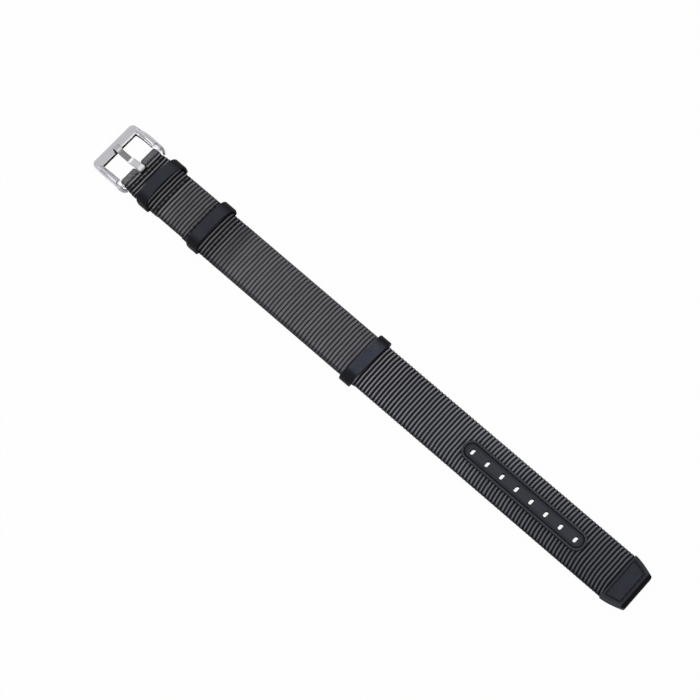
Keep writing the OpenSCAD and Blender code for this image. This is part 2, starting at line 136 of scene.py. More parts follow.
def round_rect(half_a, half_b, r, steps=3):
    """Points round a rectangle with round corners, in its own two directions."""
    points = []
    for k, (sa, sb) in enumerate(((1, 1), (-1, 1), (-1, -1), (1, -1))):
        for i in range(steps + 1):
            a = math.radians(90 * (k + i / steps))
            points.append((sa * (half_a - r) + r * math.cos(a), sb * (half_b - r) + r * math.sin(a)))
    return points


# ---------------------------------------------------------------- webbing


def rib_height(s, flat):
    """0 in the valley between two ribs and 1 on a rib's crest; flat ribs have broad crests."""
    u = 2 * ((s / RIB) % 1.0) - 1
    return max(0.0, 1 - abs(u) ** (1.5 + 2.1 * flat)) ** (1.1 - 0.45 * flat)


def rib_contrast(x):
    """The painted shade in the grooves is paler on two stretches: past the second keeper and before the hole strip."""
    return 1 - 0.32 * stretch(36, 50, 56, 105, x) - 0.28 * stretch(118, 150, 170, 200, x)


def rib_lag(x, v):
    """How far a rib lags along the strap at v across it: its ends curve towards the tip."""
    low = max(0.0, (-v - 2.5) / 7.5) ** 2 * (0.5 + 0.7 * smooth(130, 200, x))
    high = max(0.0, (v - 5.5) / 4.5) ** 2 * 0.45
    return (low + high) * smooth(6, 12, x)


PLAIN = 0.81  # the painted height of webbing without ribs

# A step along the middle of a layer: the length s along the cloth, the point, its normal, and how ribbed it is.
Step = namedtuple("Step", "s x z nx nz ribbed")


def band(parts, path, y0, y1, flat=None, across=20):
    """A stretch of webbing with round edges, along a path of steps. y0 and y1 give the edges at x, and flat how
    broad the ribs are. The weave coordinates are s, the place across, and the rib's height as it is painted, which
    the material turns into painted shade in the grooves and painted light on the crests."""
    rings, weave = [], []
    r, turn = WEBBING_T / 2, 6
    for s, x, z, nx, nz, ribbed in path:
        a, b = y0(x), y1(x)
        ring, coords = [], []
        broad = flat(x) if flat else 0.0
        h = rib_height(s, broad)
        sunk = -RIB_DEPTH * ribbed * (1 - h)
        shown = PLAIN + ribbed * rib_contrast(x) * (h * (1 - 0.15 * broad) - PLAIN)

        def put(y, out_y, out_n, v):
            """Adds the point that lies out from y on the middle plane; v is its place across the unrolled cloth."""
            along = 0.1 * ribbed * noise.noise(Vector((y * 0.3, s * 0.35, 3.1))) + rib_lag(s, y) * abs(nz)
            scallop = (0.9 if out_y > 0 else 0.5) * (1 - 0.6 * broad)
            n = out_n * (r + sunk)
            ring.append((x + nx * n + along, y + out_y * (r + sunk * scallop), z + nz * n))
            low_edge = smooth(0.1, 0.8, y - a) if a < -5 else 1.0
            high_edge = smooth(-0.3, 0.5, b - y) if b > 5 else 1.0
            # Painted shade: ribbed webbing is painted darker towards its edges.
            painted_shading = 0.25 + 0.75 * min(low_edge, high_edge) if ribbed > 0.2 else 1.0
            coords.append((s, v, shown * painted_shading))

        for k in range(across + 1):
            y = a + r + (b - a - 2 * r) * k / across
            put(y, 0, 1, y)
        for k in range(1, turn):
            t = math.pi * k / turn
            put(b - r, math.sin(t), math.cos(t), b - r + r * min(t, math.pi - t))
        for k in range(across + 1):
            y = b - r - (b - a - 2 * r) * k / across
            put(y, 0, -1, y)
        for k in range(1, turn):
            t = math.pi * k / turn
            put(a + r, -math.sin(t), -math.cos(t), a + r - r * min(t, math.pi - t))
        rings.append(ring)
        weave.append(coords)
    parts.loft(rings, weave=weave)


def straight(x0, x1, z, strength):
    """Path of a flat stretch from x0 to x1; strength gives how ribbed it is at x."""
    count = round((x1 - x0) / RIB * RIB_RINGS)
    for i in range(count + 1):
        x = x0 + (x1 - x0) * i / count
        yield Step(head_phase(x) if z == UPPER_Z else x, x, z, 0.0, 1.0, min(1.0, strength(x)))


def seam_strength(x):
    """Ribs are pressed flat a little along a seam."""
    return 1 - 0.45 * max(math.exp(-(((x - s) / 0.7) ** 2)) for s in SEAMS.values())


def broad_ribs(x):
    """The ribs look broad and flat up to the third keeper, and round and separate past it and beside the second."""
    return stretch(15, 21, 112, 117, x) - 0.9 * stretch(35, 37, 43, 47, x) + 0.4 * smooth(125, 230, x)


def side_edge(side):
    """One edge of the webbing, which is narrower near the bar."""
    return lambda x: side * (FOLD_HALF + (HALF_W - FOLD_HALF) * min(1.0, max(0.0, x / 5)))


def level(y):
    """An edge that stays at y."""
    return lambda x: y


def tip_half(x, inset=0.0):
    """Half width of the tip's outline at x."""
    return TIP_HALF - inset - TIP_DRAW * min(1.0, max(0.0, (x - TIP_X) / TIP_L)) ** TIP_CURVE


def tip_webbing(x):
    """Half width of the webbing as it runs into the tip."""
    return HALF_W - (HALF_W - tip_half(x, 0.4)) * smooth(TIP_X + 0.1, TIP_X + 0.4, x)


def flat_piece(name, x0, x1, z=UPPER_Z, splits=None, left=side_edge(-1), right=side_edge(1)):
    """A flat section of webbing. splits gives where an opening along its middle starts and ends, and its half width."""
    parts = Parts()
    path = list(straight(x0, x1, z, seam_strength))
    if splits is None:
        band(parts, path, left, right, flat=broad_ribs)
    else:
        start, end, half = splits
        i = next(k for k, step in enumerate(path) if step.x >= start)
        j = next(k for k, step in enumerate(path) if step.x >= end)
        band(parts, path[: i + 1], left, right, flat=broad_ribs)
        band(parts, path[i : j + 1], left, level(-half), flat=broad_ribs, across=12)
        band(parts, path[i : j + 1], level(half), right, flat=broad_ribs, across=12)
        band(parts, path[j:], left, right, flat=broad_ribs)
    return parts.build(name)


def head_ribs(x):
    """How strongly the webbing is ribbed at its head: it is smooth over the bar."""
    return smooth(0.5, 1.0, x) * seam_strength(x)


def head_phase(x):
    """The first ribs behind the bar are stretched."""
    return x - 0.55 * (1 - smooth(4, 9, x))


FOLD_L = 17.6  # of the end that is folded back under the strap
SLOT_HALF, SLOT_BACK, SLOT_BACK_LOW = 1.75, 1.8, 1.3  # the tongue's slot, and where it ends above and below


def fold_path():
    """Path from the slot's end over the bar and back under the strap."""
    r = BORE_R + WEBBING_T / 2
    top, slope_steps, turn_steps = (2.5, UPPER_Z), 8, 32
    rise = top[1] - BAR_Z
    a0 = math.atan2(rise, top[0]) + math.acos(r / math.hypot(top[0], rise))
    a1 = math.radians(270)
    touch = (r * math.cos(a0), BAR_Z + r * math.sin(a0))
    points = []
    for i in range(slope_steps + 1):
        t = i / slope_steps
        points.append((top[0] + (touch[0] - top[0]) * t, top[1] + (touch[1] - top[1]) * t))
    for i in range(1, turn_steps + 1):
        a = a0 + (a1 - a0) * i / turn_steps
        points.append((r * math.cos(a), BAR_Z + r * math.sin(a)))
    count = round(FOLD_L / RIB * RIB_RINGS)
    points += [(FOLD_L * i / count, LOWER_Z) for i in range(1, count + 1)]
    length, length_at_touch, out = 0.0, 0.0, []
    for i, (x, z) in enumerate(points):
        px, pz = points[max(0, i - 1)]
        qx, qz = points[min(len(points) - 1, i + 1)]
        length += math.hypot(x - px, z - pz)
        d = math.hypot(qx - px, qz - pz)
        if i <= slope_steps:
            length_at_touch = length
            s = head_phase(x)
        else:
            s = head_phase(touch[0]) - (length - length_at_touch)
        ribbed = smooth(1.0, 3.0, x) if i > 20 else head_ribs(x)
        out.append(Step(s, x, z, (qz - pz) / d, -(qx - px) / d, ribbed))
    return out


fold = fold_path()
slot_end = max(i for i, step in enumerate(fold) if step.x <= SLOT_BACK_LOW and step.z < 1.0)
behind_slot = [step for step in fold[:slot_end] if step.x > SLOT_BACK + 0.1 and step.z > LOWER_Z]
fold_parts = Parts()
band(fold_parts, fold[: slot_end + 1], side_edge(-1), level(-SLOT_HALF), across=7)
band(fold_parts, fold[: slot_end + 1], level(SLOT_HALF), side_edge(1), across=7)
band(fold_parts, fold[slot_end:], side_edge(-1), side_edge(1))
band(fold_parts, behind_slot, level(-2.0), level(2.0), across=7)
fold_piece = fold_parts.build("nylon_fold")

head_parts = Parts()
band(head_parts, straight(2.25, 24, UPPER_Z, head_ribs), side_edge(-1), side_edge(1), flat=broad_ribs)

# Each piece of webbing, with the body it rides on or the two bodies and places it lies between, and its node.
webbing = {
    "nylon_head": (head_parts.build("nylon_head"), ("head", "neck", 17.7, 23.9), "webbing_head"),
    "nylon_neck": (flat_piece("nylon_neck", 24, 30), ("neck", "middle", 24.1, 29.9), "webbing_neck"),
    "nylon_middle": (flat_piece("nylon_middle", 30, 121.5), "middle", "webbing_middle"),
    "nylon_tail_1": (flat_piece("nylon_tail_1", 121.5, 132), ("middle", "tail_1", 121.6, 131), "webbing_tail_1"),
    "nylon_tail_2": (flat_piece("nylon_tail_2", 132, 141), ("tail_1", "tail_2", 132.1, 140.4), "webbing_tail_2"),
    "nylon_tail_3": (flat_piece("nylon_tail_3", 141, 151.5), ("tail_2", "tail_3", 141.1, 151.4), "webbing_tail_3"),
    "nylon_tail_4": (flat_piece("nylon_tail_4", 151.5, 162), ("tail_3", "hole_end", 151.6, 160.9), None),
    "nylon_holes": (flat_piece("nylon_holes", 162, 223.5, splits=(165.0, 219.0, 2.2)), "hole_end", "webbing_holes"),
    "nylon_before_tip": (flat_piece("nylon_before_tip", 223.5, 234), ("hole_end", "tip", 223.6, 232.5), None),
    "nylon_tip": (
        flat_piece("nylon_tip", 234, 244, left=lambda x: -tip_webbing(x), right=tip_webbing),
        "tip",
        "webbing_tip",
    ),
    "nylon_flap": (flat_piece("nylon_flap", 30, 117, z=LOWER_Z), "middle", "flap"),
}


# ---------------------------------------------------------------- leather


KEEPER_W, KEEPER_HALF = 5.0, 10.2  # along the strap, and half the room between the legs


def ring_path(z0, z1, r_top, r_low, crown):
    """Inner face of a leather loop, as points with outward normals, once round in Y and Z."""
    points = []
    high, low = (z1 - r_top, r_top), (z0 + r_low, r_low)
    for y_side, (z, r), a0 in ((1, high, 0), (-1, high, 90), (-1, low, 180), (1, low, 270)):
        for i in range(9):
            a = math.radians(a0 + 90 * i / 8)
            ca, sa = math.cos(a), math.sin(a)
            points.append((y_side * (KEEPER_HALF - r) + r * ca, z + r * sa, ca, sa))
        y, z = points[-1][:2]
        if a0 in (0, 180):
            out = 1 if a0 == 0 else -1
            for i in range(1, 12):
                t = i / 12
                bulge = crown * math.sin(math.pi * t) if a0 == 0 else 0
                points.append((y * (1 - 2 * t), z + bulge, 0, out))
        else:
            out, far = (-1, low[0]) if a0 == 90 else (1, high[0])
            for i in range(1, 5):
                points.append((y, z + (far - z) * i / 5, out, 0))
    return points


def leather_loop(name, x, z0, z1, leg, t, lean=0.0, crown=0.0, skew=0.0):
    """A keeper: a strip of leather bent into a loop, its band leaning towards the buckle, most in its middle.
    t is the thickness of the band and leg that of the legs."""
    rings, edge = [], []
    floor, top = z0 + leg, z1 - t
    for y, z, ny, nz in ring_path(floor, top, 2.2 if lean else 1.0, 0.2, crown):
        thick = t + (leg - t) * smooth(0.2, 0.9, -nz)
        share = max(0.0, z - floor) / (top - floor)
        over = lean * share * (1.1 - 0.5 * min(1.0, abs(y) / KEEPER_HALF) ** 2)
        bow = 0.05 * noise.noise(Vector((y * 0.2, z * 0.3, x))) + skew * y
        # Painted shade: the bent ends of the loop are painted dark like its edges.
        high_end = smooth(KEEPER_HALF - 3.2, KEEPER_HALF - 0.9, y)
        low_end = smooth(KEEPER_HALF - 3.4 - 30 * skew, KEEPER_HALF - 1.2 - 24 * skew, -y)
        ring = []
        for a, b in round_rect(KEEPER_W / 2, thick / 2, 0.28):
            out = b + thick / 2
            ring.append((x + KEEPER_W / 2 + a - over + bow, y + ny * out, z + nz * out))
            rim = smooth(KEEPER_W / 2 - 0.2, KEEPER_W / 2 - 0.02, abs(a))
            edge.append(max(0.8 * high_end, 0.8 * low_end, rim))
        rings.append(ring)
    parts = Parts()
    parts.loft(rings, closed_path=True)
    parts.edge = edge
    return parts.build(name)


def plate(name, outline, z0, z1, bevel=0.25, holes=(), levels=()):
    """A flat piece of leather. outline(inset) gives its edge drawn in by inset, and holes are functions like outline
    whose inset widens them. levels are rings on its upper face: how far in and down they lie, and how they are
    painted, from -1, a painted highlight on the rim, to 1, painted dark: edge paint, or painted shade in a groove."""
    verts, faces, edge = [], [], []
    steps = 4
    turns = [math.radians(90 * i / steps) for i in range(steps + 1)]
    rounding = [(bevel * (1 - math.sin(a)), bevel * (1 - math.cos(a))) for a in turns]

    def add(points, z, painted=0.0):
        verts.extend((x, y, z) for x, y in points)
        edge.extend([painted] * len(points))
        return list(range(len(verts) - len(points), len(verts)))

    def wall(a, b):
        n = len(a)
        faces.extend((a[i], a[(i + 1) % n], b[(i + 1) % n], b[i]) for i in range(n))

    # From -0.5 on the rim's top, a painted highlight, to 1 at its foot, where the edge paint is dark.
    def painted_rim(drop):
        return 1.5 * smooth(0.3, 1, drop / bevel) - 0.5

    def sides(loop):
        rings = [add(loop(inset), z1 - drop, painted_rim(drop)) for inset, drop in rounding]
        rings += [add(loop(inset), z0 + drop, painted_rim(drop)) for inset, drop in reversed(rounding)]
        for a, b in zip(rings, rings[1:]):
            wall(a, b)
        return rings[0], rings[-1]

    top, bottom = sides(outline)
    for inset, drop, painted in levels:
        points = outline(inset)
        ring = add(points, z1 - drop, painted)
        if painted < 0:  # the painted highlight on the rim is strongest at the end towards the tip
            last = max(x for x, _ in points)
            for k, (x, _) in zip(ring, points):
                edge[k] *= 1 + 2.5 * smooth(last - 6, last, x)
        wall(top, ring)
        top = ring
    tops, bottoms = [top], [bottom]
    for hole in holes:
        a, b = sides(hole)
        tops.append(a)
        bottoms.append(b)
    for loops in (tops, bottoms):
        flat = [[Vector((verts[k][0], verts[k][1], 0)) for k in loop] for loop in loops]
        order = [k for loop in loops for k in loop]
        faces.extend(tuple(order[k] for k in tri) for tri in geometry.tessellate_polygon(flat))
    return mesh_object(name, verts, faces, edge=edge)


def strip_outline(inset):
    """Outline of the hole strip, a long shape with round ends."""
    r, points = STRIP_R - inset, []
    half = STRIP_W / 2 - STRIP_R
    for cx, a0 in ((STRIP_X + STRIP_L - STRIP_R, -90), (STRIP_X + STRIP_R, 90)):
        for i in range(25):
            a = math.radians(a0 + 180 * i / 24)
            side = 0 if abs(math.sin(a)) < 0.01 else math.copysign(half, math.sin(a))
            points.append((cx + r * math.cos(a), r * math.sin(a) + side))
    return points


def slot(x, flare=0.0):
    """Outline of a hole at x, slotted across the strap and flared a little where it leaves below."""

    def outline(inset):
        r, points = HOLE_W / 2 + inset + flare, []
        middle = (HOLE_L - HOLE_W) / 2
        for cy, a0 in ((middle, 0), (-middle, 180)):
            for i in range(9):
                a = math.radians(a0 + 180 * i / 8)
                points.append((x + r * math.cos(a), cy + r * math.sin(a)))
        return points

    return outline


def tip_outline(inset):
    """Outline of the leather tip, its square end with small round corners."""
    x0, x1 = TIP_X + inset, TIP_X + TIP_L - inset
    r = max(0.1, 0.6 - inset)
    half = [(x, tip_half(x, inset)) for x in (x0 + (x1 - r - x0) * i / 12 for i in range(13))]
    corner_y = half[-1][1]
    drop = corner_y - tip_half(x1, inset)
    for i in range(1, 7):
        a = math.radians(90 - 15 * i)
        half.append((x1 - r + r * math.cos(a), corner_y - r * (1 - math.sin(a)) - drop * i / 6))
    return [(x, -y) for x, y in half] + [(x, y) for x, y in reversed(half)]


holes = [slot(HOLE_X + i * HOLE_PITCH) for i in range(HOLES)]
flared = [slot(HOLE_X + i * HOLE_PITCH, 0.28) for i in range(HOLES)]
# Rings of the strip and the tip, from the edge inwards: how far in, how far down, and how they are painted; below 0 a
# painted highlight on the rim, 1 painted shade in the stitch groove.
groove = [
    (0.5, -0.03, -0.8),
    (0.75, 0.01, -0.4),
    (0.9, 0.08, 1.0),
    (1.3, 0.08, 1.0),
    (1.45, 0.02, 0.0),
    (1.7, -0.02, 0.0),
]
tip_rim = ((0.8, 0.0, -0.2), (1.4, 0.0, 0.0))
LAP = 0.03  # how far the strip's plies reach into the webbing
TIP_PLY = 1.8  # where the tip's two plies meet
leather_top = TOP_Z + LEATHER_T
open_loop = {"z0": 0.75, "z1": 6.8, "leg": 0.9, "t": 1.0, "crown": 0.05}

# Each piece of leather, with the body it rides on and its node.
leather = {
    "leather_keeper_1": (leather_loop("leather_keeper_1", 9.1, lean=2.1, **open_loop), "keeper_1", "keeper_1"),
    "leather_keeper_2": (leather_loop("leather_keeper_2", 34.4, lean=1.2, **open_loop), "keeper_2", "keeper_2"),
    "leather_keeper_3": (
        leather_loop("leather_keeper_3", 111.8, z0=0.0, z1=4.1, leg=0.7, t=1.2, skew=0.045),
        "middle",
        "keeper_3",
    ),
    "leather_strip": (
        plate("leather_strip", strip_outline, TOP_Z - LAP, leather_top, 0.35, holes, groove),
        "hole_end",
        "hole_strip",
    ),
    "leather_strip_lining": (
        plate("leather_strip_lining", strip_outline, 0, WEBBING_T + LAP, 0.2, flared),
        "hole_end",
        "hole_strip_lining",
    ),
    "leather_tip": (
        plate("leather_tip", tip_outline, TIP_PLY + 0.02, leather_top, 0.45, levels=tip_rim),
        "tip",
        "tip_leather",
    ),
    "leather_tip_lining": (plate("leather_tip_lining", tip_outline, 0, TIP_PLY - 0.02, 0.3), "tip", "tip_lining"),
}

# The holes' walls through the webbing, from a little above it to a little below.
low, high = WEBBING_T - 0.05, TOP_Z + 0.05
tubes = Parts()
for outline in holes:
    outer, inner, below = outline(0.9), outline(0.04), outline(0.33)
    rings = [[(x, y, z) for x, y in line] for line, z in ((outer, low), (outer, high), (inner, high), (below, low))]
    tubes.loft(rings, closed_path=True, edge=[1.0] * len(outer))
hole_walls = tubes.build("leather_hole_walls")


# ---------------------------------------------------------------- stitches


def stitch(parts, x, y, z, angle, length=1.75, r=0.23):
    """One stitch: a thread that comes up out of the work and goes down again."""
    ca, sa = math.cos(angle), math.sin(angle)
    turns = [math.tau * k / 8 for k in range(8)]
    lift, rings = 0.08, []
    for i in range(9):
        u = i / 8 * 2 - 1
        along = length / 2 * math.sin(u * math.pi / 2)
        up = lift - (lift + r * 1.1) * abs(u) ** 3
        thin = r * (1 - 0.25 * abs(u) ** 4)
        ring = []
        for t in turns:
            across = thin * math.cos(t)
            ring.append((x + ca * along - sa * across, y + sa * along + ca * across, z + up + thin * math.sin(t)))
        rings.append(ring)
    parts.loft(rings)


STITCH_PITCH, SUNK = 2.2, 0.12  # along a seam, and how deep the thread lies
SEAM_STITCHES = 8
STRIP_SEAM, TIP_SEAM = 1.1, 1.9  # how far in from the edge the leather is sewn
BOX_X0, BOX_X1 = TIP_X + 0.95, TIP_X + TIP_L - 2.8  # the ends of the box sewn on the tip
BOX_HALF_0, BOX_HALF_1 = tip_half(BOX_X0, TIP_SEAM), tip_half(BOX_X1, TIP_SEAM)

stitched = {}
for name, x in SEAMS.items():
    parts = Parts()
    for i in range(SEAM_STITCHES):
        y = (i - (SEAM_STITCHES - 1) / 2) * STITCH_PITCH
        angle = math.pi / 2 + 0.12 * math.sin(i * 1.7)
        stitch(parts, x + 0.12 * math.sin(i * 2.4), y, TOP_Z - SUNK, angle, 1.6, 0.26)
    stitched[name] = (parts, "middle" if x > 30 else "head")

parts = Parts()
z = leather_top - SUNK
row = int((STRIP_L - 2 * STRIP_R) / STITCH_PITCH)
for side in (-1, 1):
    for i in range(row):
        x = STRIP_X + STRIP_L / 2 + (i - (row - 1) / 2) * STITCH_PITCH
        stitch(parts, x, side * (STRIP_W / 2 - STRIP_SEAM), z, 0)
arc_r = STRIP_R - STRIP_SEAM
turn = 2 * math.asin(STITCH_PITCH / 2 / arc_r)
turns = int(math.pi / turn)
for cx, mid in ((STRIP_X + STRIP_R, math.pi), (STRIP_X + STRIP_L - STRIP_R, 0)):
    for i in range(turns):
        a = mid + (i - (turns - 1) / 2) * turn
        stitch(parts, cx + arc_r * math.cos(a), arc_r * math.sin(a), z, a + math.pi / 2)
stitched["strip_stitching"] = (parts, "hole_end")

parts = Parts()
for x, half in ((BOX_X0, BOX_HALF_0), (BOX_X1, BOX_HALF_1)):
    count = int(2 * half / STITCH_PITCH)
    for i in range(count):
        stitch(parts, x, (i - (count - 1) / 2) * 2 * half / count, z, math.pi / 2, 1.7)
slant = math.atan2(BOX_HALF_0 - BOX_HALF_1, BOX_X1 - BOX_X0)
for side in (-1, 1):
    for i in range(3):
        t = (i + 0.5) / 3
        y = BOX_HALF_0 + (BOX_HALF_1 - BOX_HALF_0) * t
        stitch(parts, BOX_X0 + (BOX_X1 - BOX_X0) * t, side * y, z, -side * slant, 1.6)
stitched["tip_stitching"] = (parts, "tip")


# ---------------------------------------------------------------- buckle


BUCKLE_L, FRONT_L, BUCKLE_T, ARM_RISE = 15.2, 4.0, 2.4, 1.4  # from the bar's axis forward; how high the arms arch
FRONT_X = FRONT_L - BUCKLE_L  # the front bar's inner face
BUCKLE_HALF, BULGE, WIDEST = 11.85, 0.95, 5.0
CORNER, WINDOW_CORNER, WINDOW_HALF = 1.9, 0.35, 8.85
LUG_TAIL, LUG_IN, LUG_ROUND, EYE_R = 2.9, 10.72, 1.2, 2.05
HOOK_X, LUG_HOOK, TAIL_ROUND, RECESS_X = 1.1, 0.75, 0.9, 2.45
BAR_HOLE_R = 0.4


def buckle_half(x):
    """Half width of the buckle at x: waisted, and drawn in at the lugs' tails."""
    tail = TAIL_ROUND * max(0.0, (x - HOOK_X) / (LUG_TAIL - HOOK_X)) ** 2
    return BUCKLE_HALF - BULGE * ((x + WIDEST) / (BUCKLE_L - WIDEST)) ** 2 - tail


def arm_mid(x):
    """Mid height of the buckle's metal at x."""
    s, front = (x + BUCKLE_L) / BUCKLE_L, FRONT_L / BUCKLE_L
    if s <= front:
        return BUCKLE_T / 2 + (BAR_Z - BUCKLE_T / 2) * max(0.0, s)
    rise = ARM_RISE * math.sin(math.pi * min(1.0, (s - front) / (1 - front)))
    return BUCKLE_T / 2 + (BAR_Z - BUCKLE_T / 2) * min(1.0, s) + rise


def buckle_section(outer, inner, z, t, crown=0.0):
    """Ring of points across the metal: a flat or crowned top with round edges, and bevels below."""
    (ox, oy), (ix, iy) = outer, inner
    w = math.hypot(ox - ix, oy - iy)
    ux, uy = (ix - ox) / w, (iy - oy) / w
    half, r = t / 2, min(0.45, w * 0.25)
    turns = [math.radians(90 * i / 5) for i in range(6)]
    low = half - crown
    shape = [(0, 0.45 - half)] + [(r - r * math.cos(a), low - r + r * math.sin(a)) for a in turns]
    shape += [(r + (w - 2 * r) * i / 8, half - crown * (i / 4 - 1) ** 2) for i in range(1, 8)]
    shape += [(w - r + r * math.sin(a), low - r + r * math.cos(a)) for a in turns]
    shape += [(w, 0.35 - half), (w - 0.1, 0.1 - half), (w - 0.35, -half), (0.5, -half), (0.12, 0.12 - half)]
    return [(ox + ux * a, oy + uy * a, z + h) for a, h in shape]


def lug_inner(x):
    """Inner face of an arm: the window's edge, a recess beside the bar, and the hooked tail."""
    inward = LUG_HOOK * smooth(HOOK_X, (HOOK_X + LUG_TAIL) / 2, x)
    turn = min(1.0, max(0.0, (x + RECESS_X) / 0.5))
    return WINDOW_HALF + (LUG_IN - WINDOW_HALF) * math.sqrt(1 - (1 - turn) ** 2) - inward


def lug_section(x):
    """The lug and its recess: as thick as the round eye of the bar's hole, and thinner in the hooked tail."""
    far = -abs(x)
    tail = math.sqrt(max(0.04, LUG_ROUND**2 - max(0.0, x - (LUG_TAIL - LUG_ROUND)) ** 2))
    eye = math.sqrt(max(0.0, EYE_R**2 - min(x, 2.0) ** 2)) if x > -2 else 0.0
    z = BAR_Z + (arm_mid(x) - BAR_Z) * smooth(-0.6, -2.6, far)
    return (x, buckle_half(x)), (x, lug_inner(x)), z, 2 * max(tail, eye), 0.2 + 0.5 * smooth(-2.3, -3.05, far)


def buckle_rings():
    """Sections from one lug's tail round the front bar to the other's."""
    window_end = FRONT_X + WINDOW_CORNER
    arm_start = -3.42
    stops = [LUG_TAIL - 0.02 - 4.8 * i / 20 for i in range(21)]
    stops += [-2.08, -2.2, -2.3, -2.38, -2.43, -2.45, -2.7, -3.05]
    half = [lug_section(x) for x in stops]
    for i in range(1, 15):
        x = arm_start + (window_end - arm_start) * i / 14
        ox = x - CORNER * i / 14
        crown = 0.7 * smooth(0, 0.3, 1 - i / 15)
        half.append(((ox, buckle_half(ox)), (x, WINDOW_HALF), arm_mid(x), BUCKLE_T, crown))
    cx = CORNER - BUCKLE_L
    cy = buckle_half(cx) - CORNER
    for i in range(1, 9):
        turn = math.radians(90 * i / 8)
        outer = (cx - CORNER * math.sin(turn), cy + CORNER * math.cos(turn))
        inner = (window_end - WINDOW_CORNER * math.sin(turn), WINDOW_HALF - WINDOW_CORNER * (1 - math.cos(turn)))
        half.append((outer, inner, arm_mid(outer[0] + 1.5), BUCKLE_T, 0.0))
    reach = WINDOW_HALF - 0.6
    for i in range(1, 9):
        t = 1 - i / 8
        half.append(((-BUCKLE_L, cy * t), (FRONT_X, reach * t), arm_mid(1.5 - BUCKLE_L), BUCKLE_T, 0.0))
    rings = [buckle_section(*h) for h in half]
    mirrored = [[(x, -y, z) for x, y, z in ring] for ring in reversed(rings[:-1])]
    return rings + mirrored


def lofted(name, rings):
    parts = Parts()
    parts.loft(rings)
    return parts.build(name)


def add_shade(obj, domain, values):
    """Paints shade and highlights into metal: above 0 a painted shade, darker and duller, and below 0 a painted
    highlight, lighter and smoother.
    """
    obj.data.attributes.new("shade", "FLOAT", domain).data.foreach_set("value", values)


# The notch for the tongue's tip is cut into the front bar, and a hole for each end of the sprung bar into the lugs.
buckle = lofted("buckle_metal", buckle_rings())
notch = [(-13.4, -1.45), (-9, -3.2), (-9, 1.38), (-13.4, 1.38)]
notch_cutter = lofted("cutter", [[(x, y, z) for x, y in notch] for z in (1.6, 3.2)])
circle = [(BAR_HOLE_R * math.cos(math.tau * k / 20), BAR_HOLE_R * math.sin(math.tau * k / 20)) for k in range(20)]
borer = lofted("borer", [[(x, y, BAR_Z + z) for x, z in circle] for y in (-13, 13)])
for tool in (notch_cutter, borer):
    modifier = buckle.modifiers.new("cut", "BOOLEAN")
    modifier.object, modifier.operation, modifier.solver = tool, "DIFFERENCE", "EXACT"
evaluated = bpy.data.meshes.new_from_object(buckle.evaluated_get(bpy.context.evaluated_depsgraph_get()))
buckle.modifiers.clear()
buckle.data = evaluated
buckle.data.set_sharp_from_angle(angle=math.radians(35))
for tool in (notch_cutter, borer):
    bpy.data.objects.remove(tool)

# Painted shade on the walls of the window and the notch, and a little on the lugs; a painted highlight on one stretch
# of the rim.
RIM_X = FRONT_X - 0.55  # where the painted highlight along the front bar's inner edge starts, also across the tongue
values = []
for face in buckle.data.polygons:
    x, y, z = face.center / MM
    x += MID
    window_wall = abs(y) < 9.1 and x > FRONT_X - 0.1 and abs(face.normal.z) < 0.5
    in_notch = abs(y) < 1.7 and x < FRONT_X and 1.5 < z < 2.1
    highlight_edge = 1.5 < y < 9.1 and x > FRONT_X - 0.7 and face.normal.z >= 0.3
    lug = 0.5 * smooth(-1.5, 2, x)
    for k in face.loop_indices:
        corner_x = buckle.data.vertices[buckle.data.loops[k].vertex_index].co.x / MM + MID
        values.append(1.0 if window_wall or in_notch else -1.0 if highlight_edge and corner_x > RIM_X else lug)
add_shade(buckle, "CORNER", values)


def tongue_rings():
    """Sections from the tip in its notch, through the dip, and round the bar."""
    t = 0.65
    r = BORE_R + t / 2
    tip_z, dip_z, rise = 2.1, 1.12, (-5.4, 1.18)
    line = [(-13.39, tip_z), (-11.8, tip_z), (-11.65, tip_z), (-11.4, tip_z), (-11.1, 2.0), (-10.8, 1.8), (-10.3, 1.4)]
    line += [(-10.0, 1.2), (-9.6, 1.13), (-7.5, dip_z), (-6.3, dip_z), (-6.1, dip_z), (-5.9, dip_z), (-5.7, 1.13), rise]
    a0, wrap = math.radians(112), math.radians(275)
    touch = (r * math.cos(a0), BAR_Z + r * math.sin(a0))
    line += [(rise[0] + (touch[0] - rise[0]) * i / 8, rise[1] + (touch[1] - rise[1]) * i / 8) for i in range(1, 9)]
    line += [(r * math.cos(a), BAR_Z + r * math.sin(a)) for a in (a0 - wrap * i / 24 for i in range(1, 25))]
    rings = []
    for i, (x, z) in enumerate(line):
        px, pz = line[max(0, i - 1)]
        qx, qz = line[min(len(line) - 1, i + 1)]
        d = math.hypot(qx - px, qz - pz)
        nx, nz = -(qz - pz) / d, (qx - px) / d
        half = 1.22 + 0.23 * smooth(-5.9, -5.2, x)
        wider = 0.07 * (1 - smooth(-11.5, -10.8, x))  # on one side of the tip, to fill the notch
        rings.append([(x + nx * b, a + wider, z + nz * b) for a, b in round_rect(half + wider, t / 2, 0.14)])
    return rings


tongue = lofted("tongue_metal", tongue_rings())
tongue.data.set_sharp_from_angle(angle=math.radians(40))
# Painted shade on the tongue's front half; painted highlights on its crease, round the bar and along the front bar's
# edge.
values = []
for vertex in tongue.data.vertices:
    x = vertex.co.x / MM + MID
    dark_tone = 0.5 * stretch(-10.9, -10.3, -6.1, -5.9, x)
    light_tone = stretch(-5.9, -5.6, -5.1, -4.7, x) + stretch(-0.6, -0.2, 0.8, 1.0, x)
    light_tone += stretch(RIM_X, RIM_X + 0.15, RIM_X + 0.5, RIM_X + 0.65, x)
    values.append(dark_tone - light_tone)
add_shade(tongue, "POINT", values)


# ---------------------------------------------------------------- materials


DARKEST = (0.004, 0.004, 0.005)


def opaque(colour):
    return (*colour, 1)


